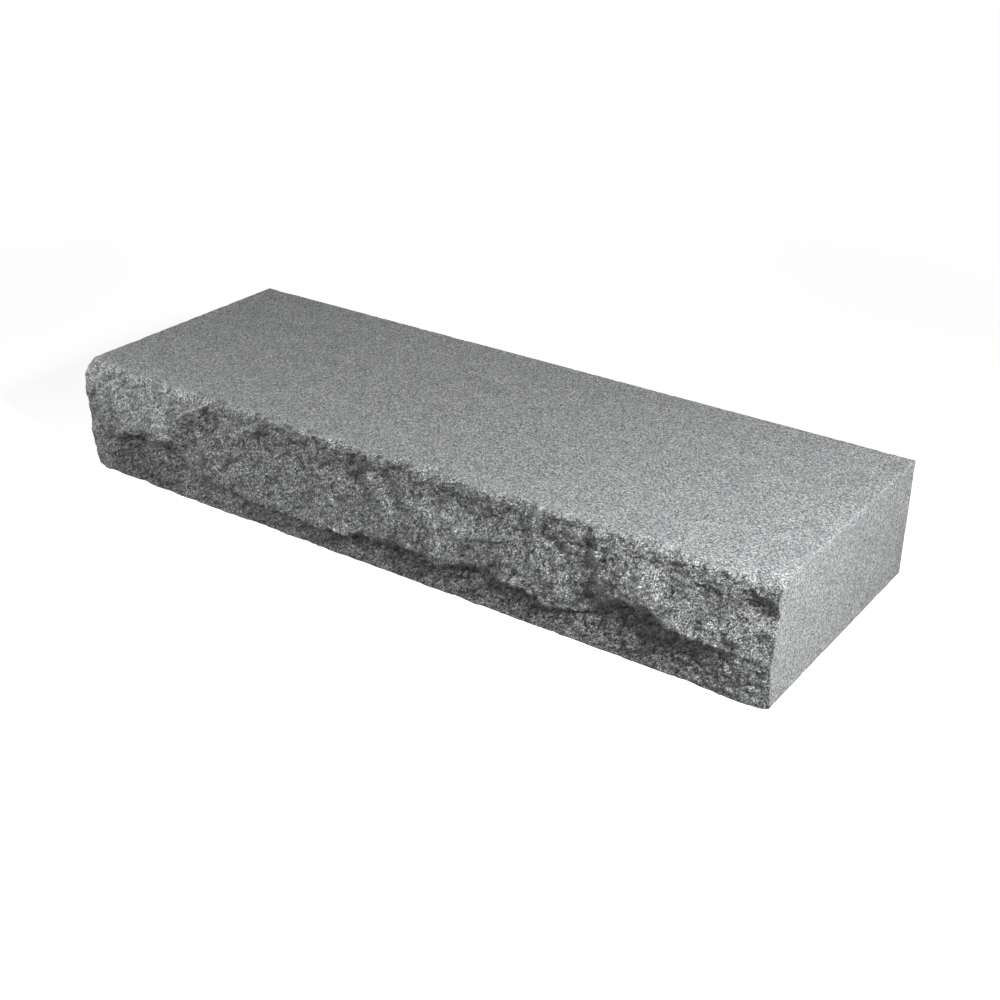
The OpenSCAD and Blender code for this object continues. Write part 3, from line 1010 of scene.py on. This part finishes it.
def seen_rays(tree):
    """1 where the camera or a reflection sees a surface, and 0 where it only lights the others."""
    path = add(tree, "LightPath").outputs
    seen = add(tree, "Math", {
        0: path["Is Camera Ray"], 1: path["Is Glossy Ray"],
    }, operation="MAXIMUM")
    return add(tree, "Math", {0: seen, 1: path["Is Transmission Ray"]}, operation="MAXIMUM")


FLOOR_HALF = 8          # from the block's middle to the floor's sides
NEAR_FLOOR = 0.6        # where the floor starts to turn to plain white, from the block's middle
FAR_FLOOR = 1.6         # and where it is plain white
GLOW = (0.77, 1.0)      # the floor's own light, near the block and far from it
FAR_SHADE = 0.02        # how much of the lamps' light the plain white floor shows
DULL_SHADE = 0.12       # how much of it the floor throws back on the block


def floor_material(shade):
    """Pale studio floor. It is lit by its own colour where the camera or a reflection sees it, and
    keeps part of the lamps' light near the block, so that the block's shadow still shows."""
    material, tree = new_material("studio_floor")
    place = add(tree, "TexCoord").outputs["Object"]
    distance = add(tree, "VectorMath", {0: place}, operation="LENGTH").outputs["Value"]
    fade = add(tree, "MapRange", {
        "Value": distance, "From Min": NEAR_FLOOR, "From Max": FAR_FLOOR,
    }, interpolation_type="SMOOTHSTEP")
    level = add(tree, "MapRange", {"Value": fade, "To Min": GLOW[0], "To Max": GLOW[1]})
    glow = add(tree, "Emission", {"Color": (1, 1, 1, 1), "Strength": level})
    near = add(tree, "Mix", {
        "Factor": fade, 6: (*shade, 1), 7: (*[FAR_SHADE] * 3, 1),
    }, data_type="RGBA")
    pale = add(tree, "BsdfDiffuse", {"Color": near.outputs[2]})
    shown = add(tree, "AddShader", {0: glow, 1: pale})
    dull = add(tree, "BsdfDiffuse", {"Color": (*[DULL_SHADE] * 3, 1)})
    both = add(tree, "MixShader", {0: seen_rays(tree), 1: dull, 2: shown})
    add(tree, "OutputMaterial", {0: both})
    return material


def studio_world(strength):
    """Even light from all round, white where it is seen."""
    world = bpy.data.worlds.new("studio")
    world.use_nodes = True
    tree = world.node_tree
    tree.nodes.clear()
    level = add(tree, "Mix", {"Factor": seen_rays(tree), 2: strength, 3: 1}, data_type="FLOAT")
    sky = add(tree, "Background", {"Color": (1, 1, 1, 1), "Strength": level})
    add(tree, "OutputWorld", {0: sky})
    return world


CAMERA_AZIMUTH = math.radians(34.33)  # from straight in front of the riser towards the right end
CAMERA_ELEVATION = math.radians(26.93)
CAMERA_ROLL = math.radians(0.84)
CAMERA_DISTANCE = 1.871
CAMERA_AIM = (86.1 * MM, -246.4 * MM)  # right of the block's middle, and in front of its back
CAMERA_LENS = 56.33     # mm
CAMERA_SENSOR = 36      # mm
LAMP_AIM = Vector((0, -0.1, 0.1))  # the riser's upper middle
# Each soft lamp's azimuth and elevation in degrees, its distance and size in metres, and its share
# of the power
LAMPS = {
    "key": (70, 33, 1.45, 0.2, 0.69),
    "side": (100, 20, 1.3, 0.35, 0.06),
    "fill": (-45, 30, 1.0, 0.35, 0.11),
    "rear": (215, 3, 1.5, 0.2, 0.14),
}


def outward(azimuth, elevation):
    """The direction from the block at an azimuth, turned from straight in front of the riser
    towards the right end, and an elevation."""
    level = math.cos(elevation)
    return Vector((math.sin(azimuth) * level, -math.cos(azimuth) * level, math.sin(elevation)))


def studio_camera():
    """The camera, above and to the right of the riser."""
    data = bpy.data.cameras.new("camera")
    data.lens = CAMERA_LENS
    data.sensor_width = CAMERA_SENSOR
    camera = add_object("camera", data)
    aim = Vector((CAMERA_AIM[0], HIGH.y + CAMERA_AIM[1], (LOW.z + HIGH.z) / 2))
    camera.location = aim + outward(CAMERA_AZIMUTH, CAMERA_ELEVATION) * CAMERA_DISTANCE
    camera.rotation_euler = (math.pi / 2 - CAMERA_ELEVATION, 0, CAMERA_AZIMUTH)
    camera.rotation_euler.rotate_axis("Z", CAMERA_ROLL)
    bpy.context.scene.camera = camera


class GRANITE_OT_step(bpy.types.Operator):
    """Builds the granite step: one block with its rock-pitched riser"""

    bl_idname = "granite.step"
    bl_label = "Build granite step"

    def execute(self, context):
        sizes, colours = context.scene.granite_sizes, context.scene.granite_colours
        mesh = block_mesh(sizes)
        rock_pitched = rock_pitched_granite(colours, sizes.rib_slope)
        for material in (rock_pitched, flamed_granite(colours), sawn_granite(colours)):
            mesh.materials.append(material)
        block = add_object("granite_block", mesh)
        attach(block, "root")
        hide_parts(NODE)
        return {"FINISHED"}


class GRANITE_OT_stage(bpy.types.Operator):
    """Builds the floor, the lamps and the camera"""

    bl_idname = "granite.stage"
    bl_label = "Build stage"

    def execute(self, context):
        stage = context.scene.granite_stage
        mesh = bpy.data.meshes.new("floor")
        sides = ((-1, -1), (1, -1), (1, 1), (-1, 1))
        corners = [(x * FLOOR_HALF, y * FLOOR_HALF, 0) for x, y in sides]
        mesh.from_pydata(corners, [], [(0, 1, 2, 3)])
        mesh.materials.append(floor_material(stage.floor))
        floor = add_object("floor", mesh)
        for name, (azimuth, elevation, distance, size, share) in LAMPS.items():
            lamp = bpy.data.lights.new(name, "AREA")
            lamp.energy = share * stage.power
            lamp.size = size
            holder = add_object(name, lamp)
            away = outward(math.radians(azimuth), math.radians(elevation))
            holder.location = LAMP_AIM + away * distance
            holder.rotation_mode = "QUATERNION"
            holder.rotation_quaternion = (-away).to_track_quat("-Z", "Y")
        context.scene.world = studio_world(stage.sky)
        context.scene.view_settings.view_transform = "Standard"
        studio_camera()
        return {"FINISHED"}


class GRANITE_PT_panel(bpy.types.Panel):
    """Sizes, colours and the builders of the granite step"""

    bl_idname = "GRANITE_PT_panel"
    bl_label = "Granite Step"
    bl_space_type = "VIEW_3D"
    bl_region_type = "UI"
    bl_category = "Granite Step"

    def draw(self, context):
        scene = context.scene
        for title, group, operator in (
            ("Block", scene.granite_sizes, None),
            ("Minerals", scene.granite_colours, GRANITE_OT_step.bl_idname),
            ("Stage", scene.granite_stage, GRANITE_OT_stage.bl_idname),
        ):
            box = self.layout.box()
            box.label(text=title)
            for name in group.__annotations__:
                box.prop(group, name)
            if operator:
                box.operator(operator)


GROUPS = {
    "granite_sizes": BlockSizes, "granite_colours": GraniteColours, "granite_stage": StageSettings,
}
CLASSES = (*GROUPS.values(), GRANITE_OT_step, GRANITE_OT_stage, GRANITE_PT_panel)


def register():
    for cls in CLASSES:
        bpy.utils.register_class(cls)
    for name, group in GROUPS.items():
        setattr(bpy.types.Scene, name, PointerProperty(type=group))


def unregister():
    for name in GROUPS:
        delattr(bpy.types.Scene, name)
    for cls in reversed(CLASSES):
        bpy.utils.unregister_class(cls)


def main():
    register()
    bpy.ops.granite.step()
    bpy.ops.granite.stage()


if __name__ == "__main__":
    main()
